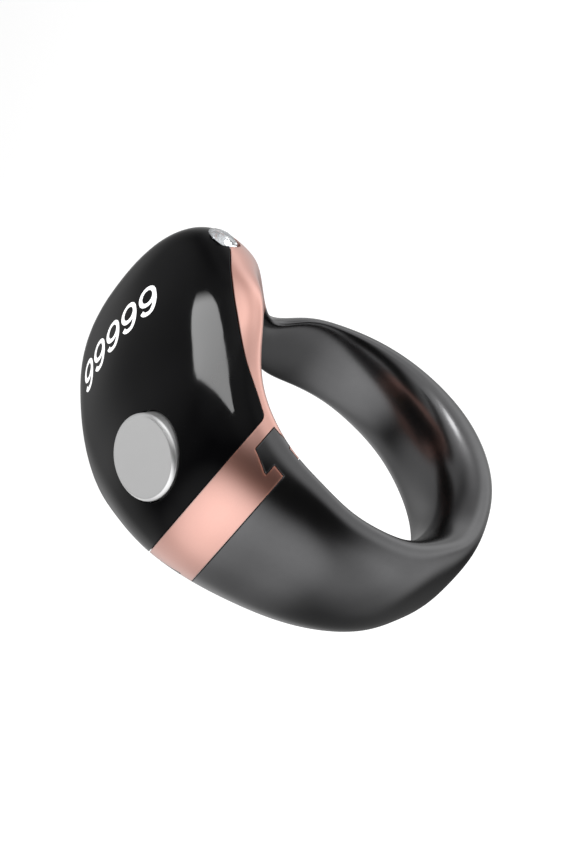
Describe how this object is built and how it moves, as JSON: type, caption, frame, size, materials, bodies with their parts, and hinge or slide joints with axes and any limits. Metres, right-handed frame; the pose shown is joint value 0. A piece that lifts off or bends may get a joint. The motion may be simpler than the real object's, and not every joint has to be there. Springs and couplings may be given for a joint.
{
  "type": "digital tally counter ring",
  "caption": "Finger-worn digital tally counter with a domed dark display, round push button, metal frame and replaceable black band.",
  "frame": {"origin": "centre of the finger bore, midway between the ring's two sides", "axes": "+Z to the top of the head, +Y along the finger away from the stone's side, +X towards the narrow shoulder beside the stone"},
  "size_m": [0.0269, 0.0218, 0.0316],
  "materials": {
    "rose_gold_plate": "polished rose gold plate",
    "smoked_lens": "high gloss smoked black",
    "soft_seal": "matte black elastomer",
    "black_lacquer": "glossy black",
    "inner_lid": "fine satin black",
    "clear_stone": "cut and polished",
    "satin_steel": "satin top with a polished rim",
    "dark_plastic": "moulded",
    "switch_shell": "tinned",
    "board_green": "solder mask on glass laminate",
    "amber_film": "amber film over copper",
    "panel_glass": "dark panel glass",
    "chip_black": "moulded epoxy",
    "tin_can": "tinned can",
    "cell_foil": "crinkled pouch foil",
    "foam_pad": "closed cell foam",
    "red_jacket": "wire jacket",
    "black_jacket": "wire jacket",
    "screw_steel": "turned",
    "contact_gold": "gold plated"
  },
  "bodies": {
    "head": {"mid_frame": "rose_gold_plate", "display_cover": "smoked_lens", "cover_gasket": "soft_seal", "finger_side_lid": "inner_lid", "stone": "clear_stone", "switch_body": "switch_shell", "switch_board": "board_green", "switch_ribbon": "amber_film", "board_carrier": "dark_plastic", "main_board": "board_green", "display_panel": "panel_glass", "display_ribbon": "amber_film", "controller_chip": "chip_black", "charger_chip": "chip_black", "timing_crystal": "tin_can", "cell": "cell_foil", "cell_pad": "foam_pad", "cell_lead_plus": "red_jacket", "cell_lead_minus": "black_jacket", "board_screw_1": "screw_steel", "board_screw_2": "screw_steel", "charging_pin_1": "contact_gold", "charging_pin_2": "contact_gold"},
    "button": {"button_cap": "satin_steel", "button_seal": "soft_seal", "switch_plunger": "dark_plastic"},
    "band": {"band": "black_lacquer"}
  },
  "joints": [
    {"name": "button_press", "type": "slide", "parent": "head", "child": "button", "axis": [0.6115, 0, -0.7912], "range_m": [0, 0.0003], "stiffness_N_per_m": 5000, "springref_m": -0.00004},
    {"name": "band_slide", "type": "slide", "parent": "head", "child": "band", "axis": [0, -1, 0], "range_m": [0, 0.016]}
  ]
}
